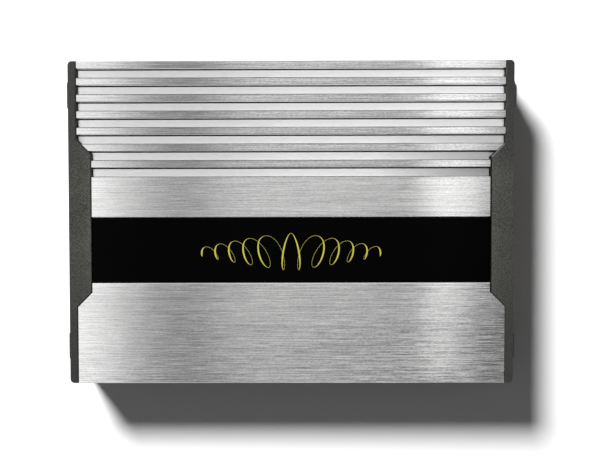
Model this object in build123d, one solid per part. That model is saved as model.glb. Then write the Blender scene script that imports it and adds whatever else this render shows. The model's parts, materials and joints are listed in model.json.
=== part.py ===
"""Two-channel car amplifier: an extruded housing between two cast end caps, with its boards inside.

Units are millimetres. +X runs towards the output end, +Y towards the ribbed back edge and +Z up.
The origin is the centre of the base, on the surface that the amplifier is screwed to.
Both ends are drawn at +X. The input end is then mirrored to -X.
"""

from build123d import *
from math import cos, pi, sin
import os

# Overall size over the end caps, without the mounting ears
LENGTH = 280.0
DEPTH = 203.0
HEIGHT = 52.0
HALF_LENGTH = LENGTH / 2
HALF_DEPTH = DEPTH / 2

# Gaps between pieces
SEAM = 0.4
PANEL_GAP = 0.2
HOLE_GAP = 0.2
SLOT_GAP = 0.1
RUNNING_GAP = 0.08
THREAD_GAP = 0.05

# Screw sizes, as radii
M3 = 1.5
M4 = 2.0

# Extruded housing
HOUSING_TOP = HEIGHT - SEAM
HOUSING_END = 134.5
BASE_THICKNESS = 2.0
WALL = 6.0
CAVITY = HALF_DEPTH - WALL
ROOF_UNDER = 43.6
RAIL_WIDTH = 7.0
RAIL_TOP = 10.5
BOSS_UNDER = 35.8
BOSS_WIDTH = 9.5
EDGE_CHAMFER = 0.4

# Ribs along the back half of the top
RIB_COUNT = 7
RIB_PITCH = 10.33
FIRST_RIB = 4.75
RIB_CREST = 0.2
VALLEY_WIDTH = 5.7
VALLEY_DEPTH = 4.5
SLOT_WIDTH = 0.9
SLOT_DEPTH = 6.2

# Channel across the top for the dark nameplate strip
NAMEPLATE_BACK = 3.6
NAMEPLATE_FRONT = -38.0
NAMEPLATE_THICKNESS = 2.0
NAMEPLATE_END_GAP = 0.3
NAMEPLATE_SIDE_GAP = 0.15
CHANNEL_DEPTH = 2.2
CHANNEL_CREST = 0.25

# Cooling grooves along the front and back walls
WALL_GROOVE_HEIGHTS = (10.0, 16.5, 23.0, 29.5, 36.0, 42.5)
WALL_GROOVE_WIDTH = 3.0
WALL_GROOVE_DEPTH = 1.8

# Stepped notch in the housing's top, filled by the wide part of each end cap
NOTCH_START = 125.4
NOTCH_SLANT = HOUSING_END - NOTCH_START
NOTCH_FRONT = -44.0
INPUT_NOTCH_BACK = 43.4
OUTPUT_NOTCH_BACK = 41.3

# End cap
CAP_WALL = 3.5
CAP_LID = 9.8
CAP_CORNER = 2.6
CAP_EDGE = 0.7
CAP_START = HOUSING_END + SEAM
CAP_WALL_INNER = HALF_LENGTH - CAP_WALL
CAP_LID_UNDER = HEIGHT - CAP_LID
WINDOW_WIDTH = 148.0
WINDOW_BOTTOM = 7.5
WINDOW_TOP = 41.5
WINDOW_CORNER = 4.0
WINDOW_CHAMFER = 0.8

# Mounting ears at the foot of each end cap
EAR_TIP = 150.65
EAR_WIDTH = 20.0
EAR_CORNER = 2.5
EAR_THICKNESS = 3.0
EAR_SPACING_X = 291.0
EAR_SPACING_Y = 169.0
EAR_HOLE_RADIUS = 2.5

# Long screws that hold cap, end panel and housing together
CAP_SCREW_PLACES = [(side * 91.2, height) for side in (-1, 1) for height in (7.2, 39.4)]
CAP_SCREW_HEAD = 3.5
CAP_SCREW_SEAT = 135.6
CAP_SCREW_TIP = 110.0
CAP_POST_RADIUS = 4.2

# End panels, recessed behind the caps
PANEL_INNER = 123.5
PANEL_FACE = 125.0
PANEL_HALF = CAVITY - 0.3
PANEL_BOTTOM = BASE_THICKNESS + PANEL_GAP
PANEL_TOP = ROOF_UNDER - PANEL_GAP

# Main board, its screws and the base's screws
BOARD_BOTTOM = RAIL_TOP
BOARD_TOP = BOARD_BOTTOM + 1.6
BOARD_HALF_LENGTH = 121.5
BOARD_HALF_DEPTH = 93.0
BOARD_SCREW_PLACES = [(x, side * 91.2) for x in (-100.0, 0.0, 100.0) for side in (-1, 1)]
BOARD_SCREW_TIP = 4.4
BASE_SCREW_PLACES = [(x, side * 96.0) for x in (-78.0, -25.0, 25.0, 78.0) for side in (-1, 1)]
BASE_SCREW_TIP = 8.0
BASE_SCREW_SINK = 1.7

# Controls on the input panel, all on one line
CONTROL_HEIGHT = 24.5
KNOB_PLACES = {"level_knob": 29.0, "lowpass_knob": 12.0, "highpass_knob": -5.0, "bass_knob": -22.0}
KNOB_RADIUS = 5.0
KNOB_START = 127.6
KNOB_END = 134.0
KNOB_FLUTES = 14
SHAFT_RADIUS = 2.4
SHAFT_START = 117.0
BUSHING_RADIUS = 3.5
SLIDER_HEIGHTS = {"crossover_slider": 31.5, "input_slider": 17.5}
SLIDER_Y = -39.0
SLIDER_TRAVEL = 2.0
# The three-way switch rests in its middle place, and the two-way one at its front end
SLIDER_REST = {"crossover_slider": 0.0, "input_slider": -SLIDER_TRAVEL}
SLIDER_FOOT = (2.3, 1.9)
SLIDER_TAB = (2.0, 1.7)
SOCKET_Y = -60.0
SOCKET_HALF_WIDTH = 6.7
SOCKET_HALF_HEIGHT = 6.3
SOCKET_BACK = 108.0

# Signal sockets on the input panel
RCA_RADIUS = 4.15
RCA_NECK = 3.9
RCA_BORE = 3.4
RCA_PIN_HOLE = 1.6
RCA_COLLAR = 4.5
RCA_PITCH = 14.0
RCA_Y = (48.0, 48.0 + RCA_PITCH)
RCA_HEIGHTS = (18.6, 18.6 + RCA_PITCH)
RCA_BLOCK_BACK = 108.5
RCA_BLOCK_MARGIN = 7.2
RCA_NECK_START = PANEL_INNER - 6.9
RCA_END = 134.0

# Terminals on the output panel
TERMINAL_HEIGHT = 24.5
STRIP_HALF_HEIGHT = 12.0
STRIP_SEAT = 130.5
STRIP_BACK = 117.5
STRIP_SLOT_HALF = 10.2
BARRIER_END = 136.0
BARRIER_THICKNESS = 1.6
PLATE_THICKNESS = 1.0
TAIL_BACK = 114.0
TAIL_DROP = 6.5
WASHER_THICKNESS = 1.0
WASHER_SEAT = STRIP_SEAT + PLATE_THICKNESS
SCREW_SEAT = WASHER_SEAT + WASHER_THICKNESS
TERMINAL_SCREW_TIP = PANEL_FACE + 0.2
POWER_PLACES = (-57.5, -41.5, -25.5)
POWER_PITCH = 16.0
SPEAKER_PLACES = (29.5, 41.0, 52.5, 64.0)
SPEAKER_PITCH = 11.5

# Fuses and lamps on the output panel
FUSE_PLACES = (-7.0, 7.0)
FUSE_FACE = 126.6
FUSE_LENGTH = 9.0
FUSE_HALF_THICKNESS = 2.5
FUSE_HALF_HEIGHT = 9.4
FUSE_HOLDER_HALF = 14.2
FUSE_HOLDER_BACK = 114.0
BLADE_OFFSET = 5.6
BLADE_DEPTH = 7.8
BLADE_ROOT = 3.0
BLADE_HALF_WIDTH = 2.6
BLADE_HALF_THICKNESS = 0.34
LED_Y = 18.7
LED_RADIUS = 1.5
LED_HEIGHTS = {"power_led": 29.5, "protect_led": 19.5}

# Power transistors, pressed against both walls by clamp bars
TRANSISTOR_PLACES = (-85.0, -51.0, -17.0, 17.0, 51.0, 85.0)
TRANSISTOR_THICKNESS = 5.0
TRANSISTOR_HALF_WIDTH = 7.9
TRANSISTOR_BOTTOM = 15.0
TRANSISTOR_TOP = 35.4
LEAD_PITCH = 5.45
PAD_THICKNESS = 0.3
PAD_SIDE_MARGIN = 0.7
PAD_TOP_MARGIN = 0.2
CLAMP_SCREW_PLACES = (-68.0, -34.0, 0.0, 34.0, 68.0)
CLAMP_HEIGHT = 27.0
CLAMP_THICKNESS = 3.0
CLAMP_HALF_LENGTH = 96.0
CLAMP_HALF_HEIGHT = 5.0
CLAMP_SCREW_TIP = 98.4
TRANSISTOR_BACK = CAVITY - PAD_THICKNESS
TRANSISTOR_FACE = TRANSISTOR_BACK - TRANSISTOR_THICKNESS
CLAMP_FACE = TRANSISTOR_FACE - CLAMP_THICKNESS

# Supply transformer, input choke, storage capacitors and small chips on the board
TOROID_CENTRE = (70.0, 0.0)
TOROID_RADII = (14.0, 28.0)
TOROID_HEIGHT = 20.0
CHOKE_CENTRE = (98.0, -58.0)
CHOKE_RADII = (7.0, 13.0)
CHOKE_HEIGHT = 10.0
WIRE_THICKNESS = 1.0
WIRE_GAP = 0.15
CORE_BOTTOM = BOARD_TOP + WIRE_THICKNESS + WIRE_GAP
CAPACITOR_RADIUS = 12.5
CAPACITOR_TOP = 40.5
CAPACITOR_PLACES = [(18.0, y) for y in (-46.5, -15.5, 15.5, 46.5)]
CHIP_PLACES = [(-98.0, y) for y in (-66.0, -44.0, -22.0, 0.0, 22.0)]
CHIP_PIN_PITCH = 2.54


def block(x0, x1, y0, y1, z0, z1):
    """A box between two opposite corners."""
    centre = Pos((x0 + x1) / 2, (y0 + y1) / 2, (z0 + z1) / 2)
    return centre * Box(abs(x1 - x0), abs(y1 - y0), abs(z1 - z0))


def bar_x(x0, x1, y, z, half_width, half_height):
    """A bar along X, centred on y and z."""
    return block(x0, x1, y - half_width, y + half_width, z - half_height, z + half_height)


def rod_x(x0, x1, y, z, radius):
    """A cylinder along X."""
    return Pos((x0 + x1) / 2, y, z) * Rot(0, 90, 0) * Cylinder(radius, x1 - x0)


def rod_y(x, y0, y1, z, radius):
    """A cylinder along Y."""
    return Pos(x, (y0 + y1) / 2, z) * Rot(90, 0, 0) * Cylinder(radius, abs(y1 - y0))


def rod_z(x, y, z0, z1, radius):
    """A cylinder along Z."""
    return Pos(x, y, (z0 + z1) / 2) * Cylinder(radius, z1 - z0)


def span(y0, y1, z0, z1):
    """A rectangle of the housing's section."""
    return Pos((y0 + y1) / 2, (z0 + z1) / 2) * Rectangle(abs(y1 - y0), z1 - z0)


def polygon(points):
    """A closed flat outline through points."""
    return make_face(Polyline(*points, close=True))


def along_x(section, x0, x1, taper=0.0):
    """A section drawn in (y, z), extruded from x0 to x1."""
    return Pos(x0, 0, 0) * extrude(Plane.YZ * section, amount=x1 - x0, taper=taper)


def outer_edges(shape):
    """The edges that lie furthest out along +X."""
    return shape.edges().group_by(Axis.X)[-1]


def cross_recess(x_face, y, z, reach, depth):
    """The cross cut into the outward face of a screw head at x_face."""
    half_slot = 0.45
    upright = bar_x(x_face - depth, x_face + 1, y, z, half_slot, reach)
    level = bar_x(x_face - depth, x_face + 1, y, z, reach, half_slot)
    return upright + level


def to_input_end(shapes):
    """Mirrors shapes drawn at +X to the input end."""
    return [mirror(shape, about=Plane.YZ) for shape in shapes]


def save(name, shapes):
    """Writes one node, made of every solid in shapes."""
    solids = [solid for shape in shapes for solid in shape.solids()]
    export_step(Compound(solids), f"parts/{name}.step")


# Housing ---------------------------------------------------------------------------------------


def rib_valley(index):
    """The cut in front of one rib: a narrow deep slot against the rib, then a flat valley floor."""
    back = HALF_DEPTH - FIRST_RIB - index * RIB_PITCH
    front = back - VALLEY_WIDTH
    above = HOUSING_TOP + 1
    floor = HOUSING_TOP - VALLEY_DEPTH
    slot_floor = HOUSING_TOP - SLOT_DEPTH
    return polygon(
        [
            (back + RIB_CREST, above),
            (back + RIB_CREST, HOUSING_TOP),
            (back, HOUSING_TOP - RIB_CREST),
            (back, slot_floor),
            (back - SLOT_WIDTH, slot_floor),
            (back - SLOT_WIDTH, floor),
            (front, floor),
            (front, HOUSING_TOP - EDGE_CHAMFER),
            (front - EDGE_CHAMFER, HOUSING_TOP),
            (front - EDGE_CHAMFER, above),
        ]
    )


def nameplate_channel():
    """The shallow channel for the nameplate, with broken top edges."""
    back, front = NAMEPLATE_BACK, NAMEPLATE_FRONT
    floor = HOUSING_TOP - CHANNEL_DEPTH
    above = HOUSING_TOP + 1
    return polygon(
        [
            (back + CHANNEL_CREST, above),
            (back + CHANNEL_CREST, HOUSING_TOP),
            (back, HOUSING_TOP - CHANNEL_CREST),
            (back, floor),
            (front, floor),
            (front, HOUSING_TOP - CHANNEL_CREST),
            (front - CHANNEL_CREST, HOUSING_TOP),
            (front - CHANNEL_CREST, above),
        ]
    )


def edge_cut(side):
    """The corner broken off the housing's top along its front or back edge."""
    beyond = 1.0
    outer = side * (HALF_DEPTH + beyond)
    above = HOUSING_TOP + beyond
    return polygon(
        [
            (outer, above),
            (side * (HALF_DEPTH - EDGE_CHAMFER - beyond), above),
            (outer, HOUSING_TOP - EDGE_CHAMFER - beyond),
        ]
    )


def housing_section():
    """The extruded section: roof, ribs, grooved walls, board rails and screw bosses."""
    section = span(-HALF_DEPTH, HALF_DEPTH, BASE_THICKNESS, HOUSING_TOP)
    section -= span(-CAVITY, CAVITY, BASE_THICKNESS - 1, ROOF_UNDER)
    half_groove = WALL_GROOVE_WIDTH / 2
    for side in (-1, 1):
        inner, outer = side * CAVITY, side * HALF_DEPTH
        section += span(inner - side * RAIL_WIDTH, inner, BASE_THICKNESS, RAIL_TOP)
        section += span(inner - side * BOSS_WIDTH, inner, BOSS_UNDER, ROOF_UNDER)
        groove = (outer - side * WALL_GROOVE_DEPTH, outer + side)
        for height in WALL_GROOVE_HEIGHTS:
            section -= span(*groove, height - half_groove, height + half_groove)
        section -= edge_cut(side)
    for index in range(RIB_COUNT):
        section -= rib_valley(index)
    return section - nameplate_channel()


def end_notch(notch_back):
    """The stepped notch in one end of the housing's top."""
    beyond = 5.0
    slant = NOTCH_SLANT + beyond
    outline = polygon(
        [
            (HOUSING_END + beyond, notch_back + slant),
            (NOTCH_START, notch_back),
            (NOTCH_START, NOTCH_FRONT),
            (HOUSING_END + beyond, NOTCH_FRONT - slant),
        ]
    )
    return Pos(0, 0, ROOF_UNDER - 1) * extrude(outline, amount=HEIGHT)


def end_cut(notch_back):
    """All that is milled and drilled at one end: the panel's seat, the notch and the screw holes."""
    cut = block(PANEL_INNER, HOUSING_END + 1, -CAVITY, CAVITY, BASE_THICKNESS - 1, ROOF_UNDER)
    cut += end_notch(notch_back)
    for y, z in CAP_SCREW_PLACES:
        cut += rod_x(CAP_SCREW_TIP - 2, HOUSING_END, y, z, M4 + THREAD_GAP)
    return cut


def housing():
    """The extrusion, milled at both ends and drilled for every screw that holds in it."""
    body = along_x(housing_section(), -HOUSING_END, HOUSING_END)
    body -= end_cut(OUTPUT_NOTCH_BACK)
    body -= mirror(end_cut(INPUT_NOTCH_BACK), about=Plane.YZ)
    hole = M3 + THREAD_GAP
    spare = 0.5
    for x, y in BOARD_SCREW_PLACES:
        body -= rod_z(x, y, BOARD_SCREW_TIP - spare, RAIL_TOP + 1, hole)
    for x, y in BASE_SCREW_PLACES:
        body -= rod_z(x, y, 0, BASE_SCREW_TIP + spare, hole)
    for side in (-1, 1):
        for x in CLAMP_SCREW_PLACES:
            tip = side * (CLAMP_SCREW_TIP + spare)
            body -= rod_y(x, side * (CAVITY - 1), tip, CLAMP_HEIGHT, hole)
    return body


def nameplate():
    """The glossy strip that lies in the channel between the two caps."""
    bottom = HOUSING_TOP - CHANNEL_DEPTH
    reach = NOTCH_START - NAMEPLATE_END_GAP
    front, back = NAMEPLATE_FRONT + NAMEPLATE_SIDE_GAP, NAMEPLATE_BACK - NAMEPLATE_SIDE_GAP
    strip = block(-reach, reach, front, back, bottom, bottom + NAMEPLATE_THICKNESS)
    return chamfer(strip.edges().group_by(Axis.Z)[-1], 0.2)


def base_plate():
    """The flat base, held by countersunk screws."""
    reach = HOUSING_END - PANEL_GAP
    plate = block(-reach, reach, -HALF_DEPTH, HALF_DEPTH, 0, BASE_THICKNESS)
    gap = 0.1
    for x, y in BASE_SCREW_PLACES:
        plate -= Pos(x, y, BASE_SCREW_SINK / 2) * Cone(2 * M3 + gap, M3 + gap, BASE_SCREW_SINK)
        plate -= rod_z(x, y, BASE_SCREW_SINK / 2, BASE_THICKNESS + 1, M3 + gap)
    return plate


# End caps --------------------------------------------------------------------------------------


def cap_outline(notch_back):
    """The cap seen from above: narrow, then wide over the connectors, then narrow again."""
    wide = NOTCH_START + SEAM
    # A seam of even width moves the slanted edges' ends inward by this much
    inward = SEAM * (2**0.5 - 1)
    back = notch_back - inward
    front = NOTCH_FRONT + inward
    return polygon(
        [
            (HALF_LENGTH, -HALF_DEPTH),
            (HALF_LENGTH, HALF_DEPTH),
            (CAP_START, HALF_DEPTH),
            (CAP_START, back + NOTCH_SLANT),
            (wide, back),
            (wide, front),
            (CAP_START, front - NOTCH_SLANT),
            (CAP_START, -HALF_DEPTH),
        ]
    )


def ear(side):
    """One mounting ear with its screw hole."""
    centre = side * EAR_SPACING_Y / 2
    root = CAP_WALL_INNER + 1
    plan = Pos((root + EAR_TIP) / 2, centre) * Rectangle(EAR_TIP - root, EAR_WIDTH)
    plan = fillet(plan.vertices().group_by(Axis.X)[-1], EAR_CORNER)
    plan -= Pos(EAR_SPACING_X / 2, centre) * Circle(EAR_HOLE_RADIUS)
    return extrude(plan, amount=EAR_THICKNESS)


def cap_window():
    """The opening in the cap's end wall in front of the connectors, wider at its outer edge."""
    height = WINDOW_TOP - WINDOW_BOTTOM
    outline = RectangleRounded(WINDOW_WIDTH, height, WINDOW_CORNER)
    outline = Pos(0, WINDOW_BOTTOM + height / 2) * outline
    straight = along_x(outline, CAP_WALL_INNER - 1, HALF_LENGTH + 1)
    return straight + along_x(outline, HALF_LENGTH - WINDOW_CHAMFER, HALF_LENGTH + 1, taper=-45)


def end_cap(notch_back):
    """A cast cap with its window, posts and ears, and a shelf that closes the seam from below."""
    body = extrude(cap_outline(notch_back), amount=HEIGHT)
    body = fillet(outer_edges(body).filter_by(Axis.Z), CAP_CORNER)
    body = fillet(body.edges().group_by(Axis.Z)[-1], CAP_EDGE)
    inside = HALF_DEPTH - CAP_WALL
    body -= block(NOTCH_START, CAP_START, -inside, inside, -1, CAP_LID_UNDER)
    body -= block(CAP_START - 1, CAP_WALL_INNER, -inside, inside, BASE_THICKNESS, CAP_LID_UNDER)
    shelf_start, shelf_top = PANEL_FACE + PANEL_GAP, ROOF_UNDER - PANEL_GAP
    body += block(shelf_start, CAP_START + 1, -PANEL_HALF, PANEL_HALF, CAP_LID_UNDER, shelf_top)
    body -= cap_window()
    for side in (-1, 1):
        body += ear(side)
    for y, z in CAP_SCREW_PLACES:
        body += rod_x(PANEL_FACE, CAP_WALL_INNER + 1, y, z, CAP_POST_RADIUS)
    for y, z in CAP_SCREW_PLACES:
        body -= rod_x(PANEL_FACE - 1, HALF_LENGTH, y, z, M4 + HOLE_GAP)
        body -= rod_x(CAP_SCREW_SEAT, HALF_LENGTH + 1, y, z, CAP_SCREW_HEAD + HOLE_GAP)
    return body


def cap_screw(y, z):
    """A long socket head screw along X."""
    head_end = CAP_SCREW_SEAT + 2 * M4
    head = rod_x(CAP_SCREW_SEAT, head_end, y, z, CAP_SCREW_HEAD)
    head = chamfer(outer_edges(head), 0.3)
    socket_radius, socket_depth = 1.7, 2.4
    hexagon = Pos(y, z) * RegularPolygon(socket_radius, 6)
    head -= along_x(hexagon, head_end - socket_depth, head_end + 1)
    return head + rod_x(CAP_SCREW_TIP, CAP_SCREW_SEAT + 0.5, y, z, M4)


def end_panel():
    """A plain end panel with its four screw holes."""
    panel = block(PANEL_INNER, PANEL_FACE, -PANEL_HALF, PANEL_HALF, PANEL_BOTTOM, PANEL_TOP)
    for y, z in CAP_SCREW_PLACES:
        panel -= rod_x(PANEL_INNER - 1, PANEL_FACE + 1, y, z, M4 + HOLE_GAP)
    return panel


# Input end, drawn at +X ------------------------------------------------------------------------


def input_panel():
    """The end panel cut for the signal sockets, knobs, switches and remote socket."""
    panel = end_panel()
    through = (PANEL_INNER - 1, PANEL_FACE + 1)
    for y in RCA_Y:
        for z in RCA_HEIGHTS:
            panel -= rod_x(*through, y, z, RCA_COLLAR + SLOT_GAP)
    for y in KNOB_PLACES.values():
        panel -= rod_x(*through, y, CONTROL_HEIGHT, BUSHING_RADIUS + SLOT_GAP)
    margin = 0.3
    foot_length, foot_height = SLIDER_FOOT
    for z in SLIDER_HEIGHTS.values():
        half_length = SLIDER_TRAVEL + foot_length + margin
        panel -= bar_x(*through, SLIDER_Y, z, half_length, foot_height + margin)
    half_width, half_height = SOCKET_HALF_WIDTH + margin, SOCKET_HALF_HEIGHT + margin
    return panel - bar_x(*through, SOCKET_Y, CONTROL_HEIGHT, half_width, half_height)


def rca_housing():
    """The moulded block behind the panel that carries the signal sockets, with a collar for each."""
    low, high = RCA_Y[0] - RCA_BLOCK_MARGIN, RCA_Y[1] + RCA_BLOCK_MARGIN
    top = RCA_HEIGHTS[1] + RCA_BLOCK_MARGIN
    body = block(RCA_BLOCK_BACK, PANEL_INNER, low, high, BOARD_TOP, top)
    for y in RCA_Y:
        for z in RCA_HEIGHTS:
            body += rod_x(PANEL_INNER - 1, PANEL_FACE + 0.9, y, z, RCA_COLLAR)
            body -= rod_x(RCA_NECK_START - 0.1, PANEL_FACE + 2, y, z, RCA_NECK + THREAD_GAP)
    return body


def rca_barrel(y, z):
    """The metal barrel that a plug's shell slides over, with a smaller neck inside the block."""
    barrel = rod_x(PANEL_FACE + 1, RCA_END, y, z, RCA_RADIUS)
    barrel = chamfer(outer_edges(barrel), 0.35)
    barrel += rod_x(RCA_NECK_START, PANEL_FACE + 1.5, y, z, RCA_NECK)
    return barrel - rod_x(RCA_NECK_START - 1, RCA_END + 1, y, z, RCA_BORE)


def rca_insert(y, z):
    """The coloured insulator inside a barrel, with the contact hole for the plug's pin."""
    body = rod_x(RCA_NECK_START, RCA_END - 0.6, y, z, RCA_BORE)
    return body - rod_x(PANEL_INNER, RCA_END, y, z, RCA_PIN_HOLE)


def potentiometer(y):
    """One rotary control's body, standing on the board, with its bushing through the panel."""
    z = CONTROL_HEIGHT
    half_width, rise = 5.5, 6.0
    back = SHAFT_START - 5
    body = block(back, PANEL_INNER, y - half_width, y + half_width, BOARD_TOP, z + rise)
    bushing = rod_x(PANEL_INNER - 1, PANEL_FACE + 1.8, y, z, BUSHING_RADIUS)
    return body + bushing - rod_x(SHAFT_START - 1, PANEL_FACE + 3, y, z, SHAFT_RADIUS + RUNNING_GAP)


def knob(y):
    """A small fluted knob and its shaft, with a driver slot and a pointer groove at the top."""
    z = CONTROL_HEIGHT
    flute_radius, flute_circle = 0.8, KNOB_RADIUS + 0.35
    slot_depth, slot_half_width, slot_reach = 1.0, 0.4, 2.6
    body = rod_x(KNOB_START, KNOB_END, y, z, KNOB_RADIUS)
    body = chamfer(outer_edges(body), 0.6)
    for step in range(KNOB_FLUTES):
        angle = 2 * pi * (step + 0.5) / KNOB_FLUTES
        flute_y, flute_z = y + flute_circle * sin(angle), z + flute_circle * cos(angle)
        body -= rod_x(KNOB_START - 1, KNOB_END + 1, flute_y, flute_z, flute_radius)
    body -= bar_x(KNOB_END - slot_depth, KNOB_END + 1, y, z, slot_half_width, slot_reach)
    pointer_half = (KNOB_RADIUS + 1 - slot_reach) / 2
    pointer_z = z + slot_reach + pointer_half
    body -= bar_x(KNOB_END - 0.6, KNOB_END + 1, y, pointer_z, slot_half_width, pointer_half)
    return body + rod_x(SHAFT_START, KNOB_START + 0.5, y, z, SHAFT_RADIUS)


def slide_switch(z):
    """The body of one slide switch, with the slot that its slider runs in."""
    floor = 118.0
    foot_length, foot_height = SLIDER_FOOT
    slot_half = (SLIDER_TRAVEL + foot_length + SLOT_GAP, foot_height + 0.15)
    body = bar_x(floor - 4.5, PANEL_INNER, SLIDER_Y, z, 8.0, 4.0)
    return body - bar_x(floor, PANEL_INNER + 1, SLIDER_Y, z, *slot_half)


def slider(y, z):
    """The slider of one switch: a foot in the slot and a ridged tab outside the panel."""
    tab_end = PANEL_FACE + 4.6
    foot = bar_x(118.3, PANEL_FACE, y, z, *SLIDER_FOOT)
    tab = bar_x(PANEL_FACE - 0.5, tab_end, y, z, *SLIDER_TAB)
    for offset in (-1.2, 0.0, 1.2):
        tab -= bar_x(tab_end - 0.5, tab_end + 1, y + offset, z, 0.25, 2.0)
    return foot + tab


def remote_socket():
    """The modular socket for the remote level control, open outward with a latch notch."""
    y, z = SOCKET_Y, CONTROL_HEIGHT
    mouth = PANEL_FACE + 1.4
    body = bar_x(SOCKET_BACK, mouth, y, z, SOCKET_HALF_WIDTH, SOCKET_HALF_HEIGHT)
    body -= bar_x(SOCKET_BACK + 3, mouth + 1, y, z, 4.9, 3.4)
    body -= block(SOCKET_BACK + 9, mouth + 1, y - 1.8, y + 1.8, z - 5.2, z)
    pin_count, pin_pitch = 4, 1.27
    for index in range(pin_count):
        pin_y = y + (index - (pin_count - 1) / 2) * pin_pitch
        body += bar_x(SOCKET_BACK + 2.5, SOCKET_BACK + 9.5, pin_y, z + 3.0, 0.2, 0.6)
    legs_top = z - SOCKET_HALF_HEIGHT + 0.3
    return body + block(SOCKET_BACK + 2, SOCKET_BACK + 12, y - 5, y + 5, BOARD_TOP, legs_top)


# Output end ------------------------------------------------------------------------------------


def strip_reach(places, pitch):
    """The ends of a terminal strip along Y."""
    half = (pitch + BARRIER_THICKNESS) / 2
    return places[0] - half, places[-1] + half


def strip_rear(places, pitch, x0, x1, gap):
    """The part of a strip that passes through the panel, or its opening if the gap is 0."""
    inset = BARRIER_THICKNESS + gap
    low, high = strip_reach(places, pitch)
    half_height = STRIP_SLOT_HALF - gap
    bottom, top = TERMINAL_HEIGHT - half_height, TERMINAL_HEIGHT + half_height
    return block(x0, x1, low + inset, high - inset, bottom, top)


def fuse_rear(x0, x1, gap):
    """The part of the fuse holder that passes through the panel, or its opening if the gap is 0."""
    half_width = FUSE_HOLDER_HALF - BARRIER_THICKNESS - gap
    return bar_x(x0, x1, 0, TERMINAL_HEIGHT, half_width, STRIP_SLOT_HALF - gap)


def output_panel():
    """The end panel cut for the two terminal strips, the fuse holder and the lamps."""
    panel = end_panel()
    through = (PANEL_INNER - 1, PANEL_FACE + 1)
    panel -= strip_rear(POWER_PLACES, POWER_PITCH, *through, gap=0)
    panel -= strip_rear(SPEAKER_PLACES, SPEAKER_PITCH, *through, gap=0)
    panel -= fuse_rear(*through, gap=0)
    for z in LED_HEIGHTS.values():
        panel -= rod_x(*through, LED_Y, z, LED_RADIUS + HOLE_GAP)
    return panel


def barrier(y):
    """One wall between two terminals, with its outer corners cut off."""
    half_size = (BARRIER_THICKNESS / 2, STRIP_HALF_HEIGHT)
    wall = bar_x(STRIP_SEAT - 1, BARRIER_END, y, TERMINAL_HEIGHT, *half_size)
    return chamfer(outer_edges(wall).filter_by(Axis.Y), 1.5)


def terminal_strip(places, pitch, shank, tail_half):
    """A moulded barrier strip, with a walled bay for each terminal."""
    low, high = strip_reach(places, pitch)
    z = TERMINAL_HEIGHT
    body = block(PANEL_FACE, STRIP_SEAT, low, high, z - STRIP_HALF_HEIGHT, z + STRIP_HALF_HEIGHT)
    body += strip_rear(places, pitch, STRIP_BACK, PANEL_FACE + 1, gap=HOLE_GAP)
    for y in (*places, places[-1] + pitch):
        body += barrier(y - pitch / 2)
    tail_slot = (tail_half + SLOT_GAP, PLATE_THICKNESS / 2 + SLOT_GAP)
    for y in places:
        body -= rod_x(PANEL_FACE - 1, STRIP_SEAT + 1, y, z, shank + SLOT_GAP)
        body -= bar_x(STRIP_BACK - 1, STRIP_SEAT + 1, y, z - TAIL_DROP, *tail_slot)
    return body


def terminal_plate(y, half_width, half_height, shank, tail_half):
    """The plated contact under one screw, with its tail running through the strip to the board."""
    z = TERMINAL_HEIGHT
    tail_z = z - TAIL_DROP
    body = bar_x(STRIP_SEAT, WASHER_SEAT, y, z, half_width, half_height)
    body -= rod_x(STRIP_SEAT - 1, WASHER_SEAT + 1, y, z, shank + SLOT_GAP)
    body += bar_x(TAIL_BACK, STRIP_SEAT + 0.5, y, tail_z, tail_half, PLATE_THICKNESS / 2)
    foot_front = TAIL_BACK + PLATE_THICKNESS
    return body + block(TAIL_BACK, foot_front, y - tail_half, y + tail_half, BOARD_TOP, tail_z)


def washer(y, half, shank):
    """The captive square washer that presses a cable lug down."""
    body = bar_x(WASHER_SEAT, SCREW_SEAT, y, TERMINAL_HEIGHT, half, half)
    body = chamfer(outer_edges(body), 0.25)
    return body - rod_x(WASHER_SEAT - 1, SCREW_SEAT + 1, y, TERMINAL_HEIGHT, shank + 0.25)


def terminal_screw(y, head_radius, head_height, shank):
    """A pan head clamping screw that sits on its washer."""
    z = TERMINAL_HEIGHT
    top = SCREW_SEAT + head_height
    head = rod_x(SCREW_SEAT, top, y, z, head_radius)
    head = fillet(outer_edges(head), 0.7)
    head -= cross_recess(top, y, z, reach=head_radius * 0.55, depth=1.3)
    return head + rod_x(TERMINAL_SCREW_TIP, SCREW_SEAT + 0.3, y, z, shank)


def fuse_holder():
    """The moulded holder for two blade fuses, with a slot for each blade."""
    z = TERMINAL_HEIGHT
    body = bar_x(PANEL_FACE, FUSE_FACE, 0, z, FUSE_HOLDER_HALF, STRIP_HALF_HEIGHT - 0.5)
    body += fuse_rear(FUSE_HOLDER_BACK, PANEL_FACE + 1, gap=SLOT_GAP)
    slot_back = FUSE_FACE - BLADE_DEPTH - 1.8
    for y in FUSE_PLACES:
        for side in (-1, 1):
            blade_z = z + side * BLADE_OFFSET
            body -= bar_x(slot_back, FUSE_FACE + 1, y, blade_z, 0.55, BLADE_HALF_WIDTH + 0.3)
    return body


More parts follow.
